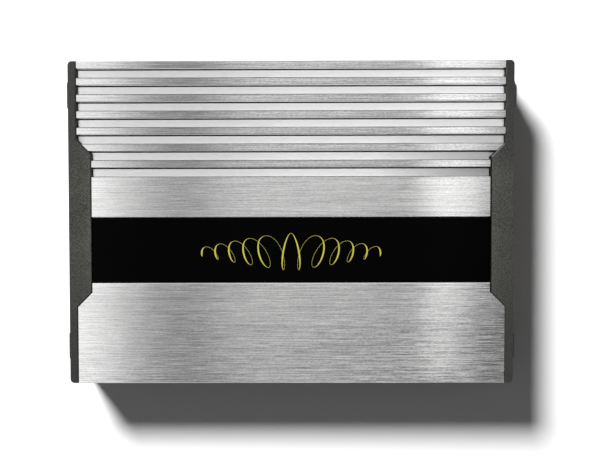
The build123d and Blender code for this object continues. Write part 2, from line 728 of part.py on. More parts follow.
def fuse_body(y):
    """The coloured plastic body of one blade fuse, with a waist for the fingers."""
    z = TERMINAL_HEIGHT
    start = FUSE_FACE + SLOT_GAP
    body = bar_x(start, start + FUSE_LENGTH, y, z, FUSE_HALF_THICKNESS, FUSE_HALF_HEIGHT)
    body = chamfer(outer_edges(body).filter_by(Axis.Y), 1.2)
    waist_depth, waist_half_height, gap = 0.8, 7.0, 0.02
    for side in (-1, 1):
        surface = y + side * FUSE_HALF_THICKNESS
        waist = (surface - side * waist_depth, surface + side)
        body -= block(start + 2.0, start + 6.6, *waist, z - waist_half_height, z + waist_half_height)
        blade_z = z + side * BLADE_OFFSET
        blade_size = (BLADE_HALF_THICKNESS + gap, BLADE_HALF_WIDTH + gap)
        body -= bar_x(start - 1, FUSE_FACE + BLADE_ROOT + 0.1, y, blade_z, *blade_size)
    return body


def fuse_blade(y, side):
    """One blade of a fuse."""
    blade_z = TERMINAL_HEIGHT + side * BLADE_OFFSET
    tip, root = FUSE_FACE - BLADE_DEPTH, FUSE_FACE + BLADE_ROOT
    body = bar_x(tip, root, y, blade_z, BLADE_HALF_THICKNESS, BLADE_HALF_WIDTH)
    return chamfer(body.edges().filter_by(Axis.Y).group_by(Axis.X)[0], 0.8)


def led(z):
    """A round lamp: a domed lens through the panel, with a flange behind it."""
    front = PANEL_FACE + 0.8
    body = rod_x(PANEL_INNER - 6.5, front, LED_Y, z, LED_RADIUS)
    body += rod_x(PANEL_INNER - 1.2, PANEL_INNER, LED_Y, z, LED_RADIUS + 0.45)
    return body + Pos(front, LED_Y, z) * Sphere(LED_RADIUS)


# Inside ----------------------------------------------------------------------------------------


def main_board():
    """The board that lies on the housing's rails."""
    half_x, half_y = BOARD_HALF_LENGTH, BOARD_HALF_DEPTH
    board = block(-half_x, half_x, -half_y, half_y, BOARD_BOTTOM, BOARD_TOP)
    for x, y in BOARD_SCREW_PLACES:
        board -= rod_z(x, y, BOARD_BOTTOM - 1, BOARD_TOP + 1, M3 + SLOT_GAP)
    return board


def board_screw(x, y):
    """A pan head screw from the board down into a rail."""
    head = rod_z(x, y, BOARD_TOP, BOARD_TOP + 2.0, 2.6)
    head = fillet(head.edges().group_by(Axis.Z)[-1], 0.6)
    return head + rod_z(x, y, BOARD_SCREW_TIP, BOARD_TOP + 0.5, M3)


def base_screw(x, y):
    """A countersunk screw, flush with the underside of the base."""
    head = Pos(x, y, BASE_SCREW_SINK / 2) * Cone(2 * M3, M3, BASE_SCREW_SINK)
    body = head + rod_z(x, y, BASE_SCREW_SINK - 0.2, BASE_SCREW_TIP, M3)
    socket_radius, socket_depth = 1.15, 1.1
    socket = extrude(RegularPolygon(socket_radius, 6), amount=socket_depth + 1)
    return body - Pos(x, y, -1) * socket


def transistor(x, side):
    """A power transistor standing against a wall, with its three leads down to the board."""
    faces = (side * TRANSISTOR_BACK, side * TRANSISTOR_FACE)
    sides = (x - TRANSISTOR_HALF_WIDTH, x + TRANSISTOR_HALF_WIDTH)
    body = block(*sides, *faces, TRANSISTOR_BOTTOM, TRANSISTOR_TOP)
    body = chamfer(body.edges().filter_by(Axis.X).group_by(Axis.Z)[-1], 0.8)
    lead_y = (side * (TRANSISTOR_BACK - 2.3), side * (TRANSISTOR_BACK - 2.9))
    for step in (-1, 0, 1):
        lead_x = x + step * LEAD_PITCH
        body += block(lead_x - 0.6, lead_x + 0.6, *lead_y, BOARD_TOP, TRANSISTOR_BOTTOM + 0.5)
    return body


def thermal_pad(x, side):
    """The insulating pad between a transistor and the wall."""
    half_width = TRANSISTOR_HALF_WIDTH + PAD_SIDE_MARGIN
    faces = (side * CAVITY, side * TRANSISTOR_BACK)
    bottom, top = TRANSISTOR_BOTTOM - PAD_SIDE_MARGIN, TRANSISTOR_TOP + PAD_TOP_MARGIN
    return block(x - half_width, x + half_width, *faces, bottom, top)


def clamp_bar(side):
    """The bar that presses a row of transistors against a wall."""
    faces = (side * TRANSISTOR_FACE, side * CLAMP_FACE)
    bottom, top = CLAMP_HEIGHT - CLAMP_HALF_HEIGHT, CLAMP_HEIGHT + CLAMP_HALF_HEIGHT
    bar = block(-CLAMP_HALF_LENGTH, CLAMP_HALF_LENGTH, *faces, bottom, top)
    through = (side * (CLAMP_FACE - 1), side * (TRANSISTOR_FACE + 1))
    for x in CLAMP_SCREW_PLACES:
        bar -= rod_y(x, *through, CLAMP_HEIGHT, M3 + HOLE_GAP)
    return bar


def clamp_screw(x, side):
    """A screw through a clamp bar into the wall."""
    head = rod_y(x, side * (CLAMP_FACE - 2.0), side * CLAMP_FACE, CLAMP_HEIGHT, 2.8)
    return head + rod_y(x, side * (CLAMP_FACE - 0.5), side * CLAMP_SCREW_TIP, CLAMP_HEIGHT, M3)


def core(centre, radii, height):
    """A ring core lying flat, as high above the board as its wire is thick."""
    x, y = centre
    inner, outer = radii
    top = CORE_BOTTOM + height
    return rod_z(x, y, CORE_BOTTOM, top, outer) - rod_z(x, y, CORE_BOTTOM - 1, top + 1, inner)


def turns(centre, radii, height, count, width):
    """Flat wire turns round such a core."""
    x, y = centre
    inner, outer = radii
    length, rise = outer - inner + 2 * WIRE_GAP, height + 2 * WIRE_GAP
    section = RectangleRounded(length + 2 * WIRE_THICKNESS, rise + 2 * WIRE_THICKNESS, 1.2)
    section -= Rectangle(length, rise)
    middle = Pos((inner + outer) / 2, CORE_BOTTOM + height / 2)
    turn = extrude(Plane.XZ * (middle * section), amount=width / 2, both=True)
    return [Pos(x, y, 0) * Rot(0, 0, 360 * step / count) * turn for step in range(count)]


def capacitor(x, y):
    """A large storage capacitor, with a crimp round its foot and a vent cross on top."""
    can = rod_z(x, y, BOARD_TOP, CAPACITOR_TOP, CAPACITOR_RADIUS)
    can = fillet(can.edges().group_by(Axis.Z)[-1], 1.0)
    crimp_depth, crimp_bottom = 0.7, BOARD_TOP + 2.5
    crimp = rod_z(x, y, crimp_bottom, crimp_bottom + 1.4, CAPACITOR_RADIUS + 1)
    crimp -= rod_z(x, y, crimp_bottom - 1, crimp_bottom + 3, CAPACITOR_RADIUS - crimp_depth)
    reach, half_cut = 8.0, 0.3
    vent_z = (CAPACITOR_TOP - 0.3, CAPACITOR_TOP + 1)
    vent = block(x - reach, x + reach, y - half_cut, y + half_cut, *vent_z)
    vent += block(x - half_cut, x + half_cut, y - reach, y + reach, *vent_z)
    return can - crimp - vent


def chip(x, y):
    """A small dual-in-line package with a notch at one end and its legs on the board."""
    half_width, half_length, top = 3.2, 4.9, BOARD_TOP + 4.0
    sides, ends = (x - half_width, x + half_width), (y - half_length, y + half_length)
    body = block(*sides, *ends, BOARD_TOP + 0.6, top)
    body -= rod_z(x, y + half_length, top - 0.6, top + 1, 0.8)
    for side in (-1, 1):
        leg_x = (x + side * (half_width - 0.1), x + side * (half_width + 0.7))
        for index in range(4):
            leg_y = y + (index - 1.5) * CHIP_PIN_PITCH
            body += block(*leg_x, leg_y - 0.3, leg_y + 0.3, BOARD_TOP, BOARD_TOP + 2.2)
    return body


# Every node ------------------------------------------------------------------------------------


def save_shell():
    """The housing, its base, caps, panels, nameplate and their screws."""
    save("heatsink_housing", [housing()])
    save("base_plate", [base_plate()])
    save("nameplate", [nameplate()])
    save("right_end_cap", [end_cap(OUTPUT_NOTCH_BACK)])
    save("left_end_cap", to_input_end([end_cap(INPUT_NOTCH_BACK)]))
    save("input_panel", to_input_end([input_panel()]))
    save("output_panel", [output_panel()])
    cap_screws = [cap_screw(y, z) for y, z in CAP_SCREW_PLACES]
    save("end_cap_screws", cap_screws + to_input_end(cap_screws))
    save("base_screws", [base_screw(x, y) for x, y in BASE_SCREW_PLACES])


def save_input_end():
    """The sockets and controls on the input panel."""
    places = [(y, z) for y in RCA_Y for z in RCA_HEIGHTS]
    save("rca_housing", to_input_end([rca_housing()]))
    save("rca_barrels", to_input_end([rca_barrel(y, z) for y, z in places]))
    lower, upper = RCA_HEIGHTS
    save("rca_inserts_white", to_input_end([rca_insert(y, upper) for y in RCA_Y]))
    save("rca_inserts_red", to_input_end([rca_insert(y, lower) for y in RCA_Y]))
    save("potentiometers", to_input_end([potentiometer(y) for y in KNOB_PLACES.values()]))
    for name, y in KNOB_PLACES.items():
        save(name, to_input_end([knob(y)]))
    save("slide_switches", to_input_end([slide_switch(z) for z in SLIDER_HEIGHTS.values()]))
    for name, z in SLIDER_HEIGHTS.items():
        save(name, to_input_end([slider(SLIDER_Y + SLIDER_REST[name], z)]))
    save("remote_socket", to_input_end([remote_socket()]))


def save_terminals(kind, names, places, pitch, shank, plate, tail_half, washer_half, head):
    """One terminal strip, with its contacts, captive washers and screws."""
    save(f"{kind}_terminal_strip", [terminal_strip(places, pitch, shank, tail_half)])
    plates = [terminal_plate(y, *plate, shank, tail_half) for y in places]
    save(f"{kind}_terminal_plates", plates)
    for name, y in zip(names, places):
        save(f"{name}_washer", [washer(y, washer_half, shank)])
        save(f"{name}_screw", [terminal_screw(y, *head, shank)])


def save_output_end():
    """The terminals, fuses and lamps on the output panel."""
    save_terminals(
        "power",
        ("ground", "remote_turn_on", "battery"),
        POWER_PLACES,
        POWER_PITCH,
        shank=M4,
        plate=(5.6, 9.5),
        tail_half=2.5,
        washer_half=5.0,
        head=(4.2, 2.7),
    )
    save_terminals(
        "speaker",
        [f"speaker_{number}" for number in range(1, len(SPEAKER_PLACES) + 1)],
        SPEAKER_PLACES,
        SPEAKER_PITCH,
        shank=M3,
        plate=(4.3, 8.5),
        tail_half=1.6,
        washer_half=3.9,
        head=(3.2, 2.3),
    )
    save("fuse_holder", [fuse_holder()])
    for name, y in zip(("fuse_1", "fuse_2"), FUSE_PLACES):
        save(f"{name}_body", [fuse_body(y)])
        save(f"{name}_blades", [fuse_blade(y, side) for side in (-1, 1)])
    for name, z in LED_HEIGHTS.items():
        save(name, [led(z)])


def save_inside():
    """The board and what stands on it or against the walls."""
    both = (-1, 1)
    toroid = (TOROID_CENTRE, TOROID_RADII, TOROID_HEIGHT)
    choke = (CHOKE_CENTRE, CHOKE_RADII, CHOKE_HEIGHT)
    save("main_board", [main_board()])
    save("board_screws", [board_screw(x, y) for x, y in BOARD_SCREW_PLACES])
    save("output_transistors", [transistor(x, -1) for x in TRANSISTOR_PLACES])
    save("supply_transistors", [transistor(x, 1) for x in TRANSISTOR_PLACES])
    save("thermal_pads", [thermal_pad(x, side) for x in TRANSISTOR_PLACES for side in both])
    save("clamp_bars", [clamp_bar(side) for side in both])
    save("clamp_screws", [clamp_screw(x, side) for x in CLAMP_SCREW_PLACES for side in both])
    save("toroid_core", [core(*toroid)])
    save("toroid_winding", turns(*toroid, count=34, width=1.8))
    save("choke_core", [core(*choke)])
    save("choke_winding", turns(*choke, count=16, width=1.5))
    save("rail_capacitors", [capacitor(x, y) for x, y in CAPACITOR_PLACES])
    save("preamp_chips", [chip(x, y) for x, y in CHIP_PLACES])


os.makedirs("parts", exist_ok=True)
save_shell()
save_input_end()
save_output_end()
save_inside()
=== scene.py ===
import json
from math import cos, hypot, pi, radians, sin

import bmesh
import bpy
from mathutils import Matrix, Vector


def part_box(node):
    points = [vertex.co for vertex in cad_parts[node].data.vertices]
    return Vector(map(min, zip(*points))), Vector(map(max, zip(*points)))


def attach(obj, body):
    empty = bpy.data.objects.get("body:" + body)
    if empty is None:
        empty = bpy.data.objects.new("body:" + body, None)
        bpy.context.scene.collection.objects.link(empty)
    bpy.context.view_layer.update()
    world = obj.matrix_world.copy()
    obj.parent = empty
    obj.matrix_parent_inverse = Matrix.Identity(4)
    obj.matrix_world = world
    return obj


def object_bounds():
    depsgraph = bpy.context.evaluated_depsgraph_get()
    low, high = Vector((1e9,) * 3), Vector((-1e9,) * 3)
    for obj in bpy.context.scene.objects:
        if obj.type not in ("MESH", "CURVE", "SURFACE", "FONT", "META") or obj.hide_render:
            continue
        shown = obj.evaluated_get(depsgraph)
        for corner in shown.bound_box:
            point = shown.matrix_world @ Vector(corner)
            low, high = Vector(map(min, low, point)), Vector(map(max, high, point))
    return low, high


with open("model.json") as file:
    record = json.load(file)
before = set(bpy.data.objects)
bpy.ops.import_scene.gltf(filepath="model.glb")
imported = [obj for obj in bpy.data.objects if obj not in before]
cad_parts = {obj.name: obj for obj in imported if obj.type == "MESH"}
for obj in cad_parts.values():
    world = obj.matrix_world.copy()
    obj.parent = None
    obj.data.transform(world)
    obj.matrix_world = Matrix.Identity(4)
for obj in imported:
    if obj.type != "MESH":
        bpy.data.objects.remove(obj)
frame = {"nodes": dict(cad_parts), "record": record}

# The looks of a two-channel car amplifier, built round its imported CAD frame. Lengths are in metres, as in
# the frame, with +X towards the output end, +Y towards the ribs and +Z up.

MM = 0.001
cad_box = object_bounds()

# The back right slant of the housing's top, in millimetres: where it starts along Y, and its x - y
SLANT_BACK = 41.3
SLANT_LINE = 84.1
# How far the painted shadow in the seam beside the output end's cap runs along Y, in millimetres
SEAM_SHADOW = (-44, 41.6)
# Outer radius of the signal sockets' barrels, in millimetres
BARREL_RADIUS = 4.15


# Material building -----------------------------------------------------------------------------

RANGE_SOCKETS = ("From Min", "From Max", "To Min", "To Max")
BLACK = (0.0, 0.0, 0.0)


class Finish:
    """A material's node tree, with short ways to add its nodes. Lengths here are in millimetres."""

    def __init__(self, name, colour, roughness, metallic=0.0, **settings):
        self.material = bpy.data.materials.new(name)
        self.material.use_nodes = True
        self.tree = self.material.node_tree
        self.shader = self.tree.nodes["Principled BSDF"]
        self.shader.inputs["Base Color"].default_value = (*colour, 1)
        self.shader.inputs["Roughness"].default_value = roughness
        self.shader.inputs["Metallic"].default_value = metallic
        for setting, value in settings.items():
            self.shader.inputs[setting.replace("_", " ")].default_value = value
        self.place = self.add("ShaderNodeTexCoord").outputs["Object"]

    def add(self, kind, **settings):
        node = self.tree.nodes.new(kind)
        for setting, value in settings.items():
            setattr(node, setting, value)
        return node

    def link(self, value, socket):
        """Sets a socket to a number or colour, or joins another node's output to it."""
        if isinstance(value, bpy.types.NodeSocket):
            self.tree.links.new(value, socket)
        else:
            socket.default_value = value

    def scaled_place(self, sizes):
        """The place on the object, in steps of those sizes along its axes."""
        mapping = self.add("ShaderNodeMapping")
        mapping.inputs["Scale"].default_value = [1 / (length * MM) for length in sizes]
        self.link(self.place, mapping.inputs["Vector"])
        return mapping.outputs["Vector"]

    def noise(self, size, detail=3.0):
        """Noise from 0 to 1 with features of that size, given as one length or one for each axis."""
        texture = self.add("ShaderNodeTexNoise")
        texture.inputs["Scale"].default_value = 1.0
        texture.inputs["Detail"].default_value = detail
        sizes = size if isinstance(size, tuple) else (size, size, size)
        self.link(self.scaled_place(sizes), texture.inputs["Vector"])
        return texture.outputs["Fac"]

    def cells(self, size, feature="F1"):
        """Distance within Voronoi cells of that size."""
        texture = self.add("ShaderNodeTexVoronoi", feature=feature)
        texture.inputs["Scale"].default_value = 1.0
        self.link(self.scaled_place((size, size, size)), texture.inputs["Vector"])
        return texture.outputs["Distance"]

    def spread(self, value, low, high, start=0.3, end=0.7):
        """Maps value from start..end to low..high, and holds it between them."""
        node = self.add("ShaderNodeMapRange")
        for name, number in zip(RANGE_SOCKETS, (start, end, low, high)):
            node.inputs[name].default_value = number
        self.link(value, node.inputs["Value"])
        return node.outputs["Result"]

    def maths(self, operation, first, second=0.0):
        node = self.add("ShaderNodeMath", operation=operation)
        self.link(first, node.inputs[0])
        self.link(second, node.inputs[1])
        return node.outputs["Value"]

    def mix(self, factor, first, second):
        """One colour or another, by a factor from 0 to 1."""
        node = self.add("ShaderNodeMix", data_type="RGBA")
        self.link(factor, node.inputs["Factor"])
        for socket, colour in zip((node.inputs[6], node.inputs[7]), (first, second)):
            self.link((*colour, 1) if isinstance(colour, tuple) else colour, socket)
        return node.outputs[2]

    def axes(self):
        """The place on the object, as its x, y and z."""
        node = self.add("ShaderNodeSeparateXYZ")
        self.link(self.place, node.inputs["Vector"])
        return node.outputs["X"], node.outputs["Y"], node.outputs["Z"]

    def between(self, value, low, high, blur):
        """1 where value, in metres, lies between low and high in millimetres, and 0 elsewhere."""
        rising = self.spread(value, 0, 1, (low - blur) * MM, (low + blur) * MM)
        falling = self.spread(value, 1, 0, (high - blur) * MM, (high + blur) * MM)
        return self.maths("MULTIPLY", rising, falling)

    def relief(self, height, depth):
        """Bumps the surface by a height from 0 to 1, which stands for that depth."""
        node = self.add("ShaderNodeBump")
        node.inputs["Strength"].default_value = 1.0
        node.inputs["Distance"].default_value = depth * MM
        self.link(height, node.inputs["Height"])
        self.link(node.outputs["Normal"], self.shader.inputs["Normal"])

    def colour(self, value):
        self.link(value, self.shader.inputs["Base Color"])

    def roughness(self, value):
        self.link(value, self.shader.inputs["Roughness"])


def shade(colour, factor):
    return tuple(min(1.0, channel * factor) for channel in colour)


def grained(name, colour, roughness, grain, depth, variety=0.12, gloss_variety=0.06, **settings):
    """A finish with a fine grain, cloudy colour and uneven gloss. Most paints and plastics use it."""
    finish = Finish(name, colour, roughness, **settings)
    clouds = finish.noise(grain * 25, detail=4)
    fine = finish.noise(grain, detail=3)
    mixed = finish.maths("ADD", finish.maths("MULTIPLY", clouds, 0.5), finish.maths("MULTIPLY", fine, 0.5))
    factor = finish.spread(mixed, 0, 1)
    finish.colour(finish.mix(factor, shade(colour, 1 - variety), shade(colour, 1 + variety)))
    finish.roughness(finish.spread(mixed, roughness - gloss_variety, roughness + gloss_variety))
    finish.relief(fine, depth)
    return finish


def plated(name, colour, roughness, tarnish=0.85, scratch=0.03):
    """A plated metal with faint scratches both ways and slightly tarnished patches."""
    finish = Finish(name, colour, roughness, metallic=1.0)
    patches = finish.noise(4.0, detail=5)
    along = finish.noise((0.12, 2.5, 2.5), detail=2)
    across = finish.noise((2.5, 0.12, 0.12), detail=2)
    scratches = finish.maths("MULTIPLY", along, across)
    finish.colour(finish.mix(finish.spread(patches, 0, 1), shade(colour, tarnish), colour))
    finish.roughness(finish.spread(scratches, roughness - scratch, roughness + 3 * scratch, 0.1, 0.45))
    finish.relief(scratches, 0.004)
    return finish


# Materials -------------------------------------------------------------------------------------


def brushed_aluminium():
    """The housing: brushed along X, with lighter satin valleys and painted shade in the slots and on the
    ribs' edges.
    """
    finish = Finish("brushed_aluminium", (0.5, 0.5, 0.5), 0.15, metallic=1.0, Anisotropic=1.0)
    tangent = finish.add("ShaderNodeTangent", direction_type="RADIAL", axis="X")
    finish.link(tangent.outputs["Tangent"], finish.shader.inputs["Tangent"])
    x, y, z = finish.axes()
    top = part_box("heatsink_housing")[1].z / MM
    plate_front, plate_back = (corner.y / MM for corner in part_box("nameplate"))

    # Long and short scratches with a fine grain, and broad brighter and duller patches
    long_streaks = finish.noise((55, 0.33, 0.33), detail=0)
    short_streaks = finish.noise((13, 0.3, 0.3), detail=0)
    grain = finish.noise((1.5, 0.45, 0.45), detail=0)
    patches = finish.noise((60, 14, 14), detail=2)
    streaks = finish.maths("ADD", finish.maths("MULTIPLY", long_streaks, 1.1), short_streaks)
    streaks = finish.maths("ADD", streaks, finish.maths("MULTIPLY", grain, 0.65))
    # The scratches show most towards the front right corner and least at the left
    front = finish.spread(y, 1.0, 0.0, -0.1, -0.035)
    right = finish.spread(x, 0.1, 1.0, 0.0, 0.09)
    worn = finish.spread(finish.maths("MULTIPLY", front, right), 1.0, 2.2, 0.0, 1.0)
    worn = finish.maths("MULTIPLY", worn, finish.spread(front, 1.0, 1.25, 0.0, 1.0))
    worn = finish.maths("MULTIPLY", worn, finish.spread(x, 0.62, 0.98, -0.12, -0.03))
    brushed = finish.spread(streaks, -0.5, 0.5, 0.775, 1.975)
    brushed = finish.maths("MULTIPLY", brushed, worn)
    brushed = finish.maths("ADD", brushed, finish.spread(patches, 0.48, 0.52))
    colour = finish.mix(brushed, (0.31, 0.31, 0.31), (0.73, 0.73, 0.725))

    # Painted shade darkens the ribs' tops, most of all left of the middle
    rib_tops = finish.between(y, plate_back + 25.5, 110, 0.3)
    rib_top_shade = finish.maths("MULTIPLY", finish.between(x, -95, -42, 17), 0.16)
    rib_top_shade = finish.maths("ADD", rib_top_shade, 0.13)
    colour = finish.mix(finish.maths("MULTIPLY", rib_tops, rib_top_shade), colour, BLACK)

    # Satin valleys, with painted shade towards the left and on the front ones towards the right, then painted
    # shade on the ribs' edges and in the slots
    ribs = finish.between(y, 20, 98, 0.5)
    valley = finish.maths("MULTIPLY", finish.between(z, top - 4.8, top - 0.5, 0.05), ribs)
    slot = finish.maths("MULTIPLY", finish.between(z, top - 6.6, top - 4.7, 0.05), ribs)
    rib_edge_shade = finish.maths("MULTIPLY", finish.between(z, top - 0.45, top - 0.08, 0.04), ribs)
    front_valley_shade = finish.spread(x, 0, 1, 0.05, 0.125)
    front_valley_shade = finish.maths("MULTIPLY", front_valley_shade, finish.spread(y, 1, 0, 0.034, 0.07))
    satin = finish.spread(finish.noise((4, 0.5, 0.5), detail=4), 0.9, 0.98)
    satin = finish.maths("MULTIPLY", satin, finish.spread(front_valley_shade, 1.0, 0.45, 0.0, 1.0))
    satin = finish.maths("MULTIPLY", satin, finish.spread(x, 0.84, 1.04, -0.1, 0.0))
    satin_colour = finish.add("ShaderNodeCombineColor")
    for channel in ("Red", "Green", "Blue"):
        finish.link(satin, satin_colour.inputs[channel])
    colour = finish.mix(valley, colour, satin_colour.outputs["Color"])
    # Painted shade on the ribs' edges, and a painted shadow in the slots
    colour = finish.mix(rib_edge_shade, colour, (0.12, 0.12, 0.12))
    colour = finish.mix(slot, colour, (0.012, 0.012, 0.012))

    # Painted shadow in the seam beside the output end's cap
    seam_shadow = finish.between(x, 125.1, 126, 0.05)
    seam_shadow = finish.maths("MULTIPLY", seam_shadow, finish.between(y, *SEAM_SHADOW, 0.3))
    colour = finish.mix(seam_shadow, colour, (0.01, 0.01, 0.01))
    # A painted highlight along the lip in front of the nameplate
    lip = finish.between(y, plate_front - 0.75, plate_front - 0.2, 0.1)
    finish.colour(finish.mix(finish.maths("MULTIPLY", lip, 0.5), colour, (1.0, 1.0, 0.98)))
    rough = finish.spread(short_streaks, 0.12, 0.18)
    rough = finish.maths("ADD", rough, finish.maths("MULTIPLY", valley, 0.24))
    finish.roughness(rough)
    height = finish.maths("MULTIPLY", short_streaks, finish.maths("SUBTRACT", 1.0, valley))
    finish.relief(height, 0.0003)
    return finish


def cap_paint():
    """The end caps: a dark warm grey coat with a fine sand texture, with painted shade outside and at the
    corners and a painted glint on one edge.
    """
    colour = (0.0285, 0.029, 0.0252)
    finish = Finish("cap_paint", colour, 0.6, Specular_IOR_Level=0.4)
    x, y, z = finish.axes()
    across = finish.maths("ABSOLUTE", x, 0.0)
    sand = finish.noise(0.85, detail=3)
    pits = finish.cells(0.6)
    clouds = finish.noise(30, detail=3)
    factor = finish.maths("ADD", finish.maths("MULTIPLY", sand, 0.75), finish.maths("MULTIPLY", clouds, 0.25))
    coat = finish.mix(finish.spread(factor, 0, 1, 0.42, 0.58), shade(colour, 0.4), shade(colour, 1.75))
    # Painted shade: darker away from the housing, then towards the back and front corners
    outer = finish.spread(across, 0.0, 0.32, 0.1255, 0.132)
    outer = finish.maths("ADD", outer, finish.spread(across, 0.0, 0.08, 0.132, 0.14))
    coat = finish.mix(outer, coat, BLACK)
    back = finish.spread(y, 0.0, 0.42, 0.03, 0.09)
    front = finish.spread(y, 0.5, 0.0, -0.09, -0.01)
    front = finish.maths("MULTIPLY", front, finish.spread(x, 1.35, 0.9, -0.01, 0.01))
    coat = finish.mix(finish.maths("ADD", back, front), coat, BLACK)
    # Painted shadow keeps the output end's seam beside the housing dark
    seam_shadow = finish.between(x, 125.4, 126.2, 0.04)
    seam_shadow = finish.maths("MULTIPLY", seam_shadow, finish.between(y, *SEAM_SHADOW, 0.3))
    coat = finish.mix(seam_shadow, coat, (0.0006, 0.0006, 0.0006))
    # A painted glint along the edge of the output end's back slant
    slant_glint = finish.between(finish.maths("SUBTRACT", x, y), SLANT_LINE + 0.65, SLANT_LINE + 1.0, 0.1)
    slant_glint = finish.maths("MULTIPLY", slant_glint, finish.between(y, SLANT_BACK - 0.2, SLANT_BACK + 7.8, 0.2))
    slant_glint = finish.maths("MULTIPLY", slant_glint, finish.between(z, 51.2, 53, 0.1))
    finish.colour(finish.mix(slant_glint, coat, (0.16, 0.16, 0.155)))
    finish.roughness(finish.spread(pits, 0.5, 0.72, 0.1, 0.8))
    finish.relief(finish.maths("ADD", sand, finish.maths("MULTIPLY", pits, 0.4)), 0.12)
    return finish


def gloss_black():
    """The nameplate: polished black with faint rubbing marks."""
    finish = Finish("gloss_black", (0.0005, 0.0005, 0.0005), 0.08, Specular_IOR_Level=0.01)
    marks = finish.noise((8, 0.4, 0.4), detail=3)
    finish.roughness(finish.spread(marks, 0.05, 0.14))
    finish.colour(finish.mix(finish.noise(40), (0.0004, 0.0004, 0.0004), (0.0009, 0.0009, 0.0009)))
    finish.relief(finish.noise(14, detail=1), 0.004)
    return finish


def circuit_board():
    """Green solder mask over darker tracks, with tinned pads."""
    finish = Finish("circuit_board", (0.02, 0.16, 0.06), 0.35, Coat_Weight=0.3, Coat_Roughness=0.15)
    tracks = finish.spread(finish.cells(9, feature="DISTANCE_TO_EDGE"), 0, 1, 0.03, 0.06)
    pads = finish.spread(finish.cells(3.2), 1, 0, 0.16, 0.2)
    mask = finish.mix(tracks, (0.035, 0.25, 0.09), (0.012, 0.11, 0.04))
    finish.colour(finish.mix(pads, mask, (0.62, 0.6, 0.52)))
    finish.relief(tracks, 0.03)
    return finish


def copper_wire():
    """Enamelled copper, with the enamel's darker and lighter turns."""
    coat = {"Coat_Weight": 0.6, "Coat_Roughness": 0.12}
    finish = Finish("copper_wire", (0.72, 0.26, 0.09), 0.3, metallic=1.0, **coat)
    strands = finish.noise((1.2, 1.2, 6.0), detail=2)
    finish.colour(finish.mix(finish.spread(strands, 0, 1), (0.5, 0.15, 0.05), (0.85, 0.36, 0.14)))
    finish.relief(strands, 0.05)
    return finish


def capacitor_sleeve():
    """A shrunk plastic sleeve over the can, wrinkled round its shoulder."""
    finish = Finish("capacitor_sleeve", (0.015, 0.02, 0.05), 0.28, Coat_Weight=0.2, Coat_Roughness=0.1)
    wrinkles = finish.noise((2.0, 2.0, 9.0), detail=3)
    finish.colour(finish.mix(wrinkles, (0.01, 0.012, 0.035), (0.025, 0.03, 0.07)))
    finish.roughness(finish.spread(wrinkles, 0.2, 0.38))
    finish.relief(wrinkles, 0.08)
    return finish


def lens(name, colour):
    """A tinted lamp lens: clear epoxy with a slightly frosted inside."""
    finish = Finish(name, colour, 0.12, Transmission_Weight=0.5, IOR=1.5)
    frost = finish.noise(0.4, detail=3)
    finish.colour(finish.mix(frost, shade(colour, 0.7), shade(colour, 1.4)))
    finish.roughness(finish.spread(frost, 0.06, 0.2))
    return finish


def fuse_plastic():
    """Amber see-through plastic, a little cloudy."""
    finish = Finish("fuse_plastic", (0.9, 0.42, 0.02), 0.2, Transmission_Weight=0.55, IOR=1.5)
    haze = finish.noise(1.6, detail=4)
    finish.colour(finish.mix(haze, (0.75, 0.3, 0.012), (0.95, 0.5, 0.04)))
    finish.roughness(finish.spread(haze, 0.12, 0.3))
    finish.relief(haze, 0.02)
    return finish


MATERIALS = {
    "brushed_aluminium": brushed_aluminium(),
    "cap_paint": cap_paint(),
    "gloss_black": gloss_black(),
    "circuit_board": circuit_board(),
    "copper_wire": copper_wire(),
    "capacitor_sleeve": capacitor_sleeve(),
    "fuse_plastic": fuse_plastic(),
    "green_lens": lens("green_lens", (0.05, 0.5, 0.1)),
    "red_lens": lens("red_lens", (0.5, 0.03, 0.02)),
    "base_paint": grained("base_paint", (0.022, 0.022, 0.023), 0.5, grain=0.7, depth=0.06),
    "panel_paint": grained("panel_paint", (0.02, 0.02, 0.021), 0.42, grain=0.5, depth=0.03),
    "black_plastic": grained("black_plastic", (0.018, 0.018, 0.02), 0.45, grain=0.35, depth=0.02),
    "knob_plastic": grained("knob_plastic", (0.028, 0.028, 0.03), 0.38, grain=0.25, depth=0.012),
    "red_plastic": grained("red_plastic", (0.5, 0.018, 0.015), 0.25, grain=0.6, depth=0.006),
    "white_plastic": grained("white_plastic", (0.78, 0.77, 0.73), 0.28, grain=0.6, depth=0.006, variety=0.04),
    "core_iron": grained("core_iron", (0.3, 0.28, 0.06), 0.55, grain=0.4, depth=0.05),
    "black_epoxy": grained("black_epoxy", (0.018, 0.018, 0.018), 0.6, grain=0.2, depth=0.015),
    "silicone_pad": grained("silicone_pad", (0.4, 0.42, 0.46), 0.7, grain=0.4, depth=0.01),
    "gilt": grained("gilt", (0.3, 0.282, 0.04), 0.5, grain=0.3, depth=0.003, variety=0.1),
    "gold_plate": plated("gold_plate", (0.95, 0.66, 0.24), 0.16),
    "nickel_plate": plated("nickel_plate", (0.72, 0.69, 0.64), 0.22),
    "plated_steel": plated("plated_steel", (0.62, 0.62, 0.6), 0.34),
    "fuse_metal": plated("fuse_metal", (0.7, 0.7, 0.7), 0.26),
    "bar_aluminium": plated("bar_aluminium", (0.74, 0.74, 0.74), 0.4),
    "black_screw": plated("black_screw", (0.05, 0.05, 0.052), 0.36),
}


def paint_cad_nodes():
    """Gives every CAD node the finish of its material slot in the record."""
    for subpart in frame["record"]["subparts"]:
        node = frame["nodes"][subpart["node"]]
        material = MATERIALS[subpart["material_slot"]].material
        if not node.material_slots:
            node.data.materials.append(material)
        for slot in node.material_slots:
            slot.material = material


# Pieces ----------------------------------------------------------------------------------------


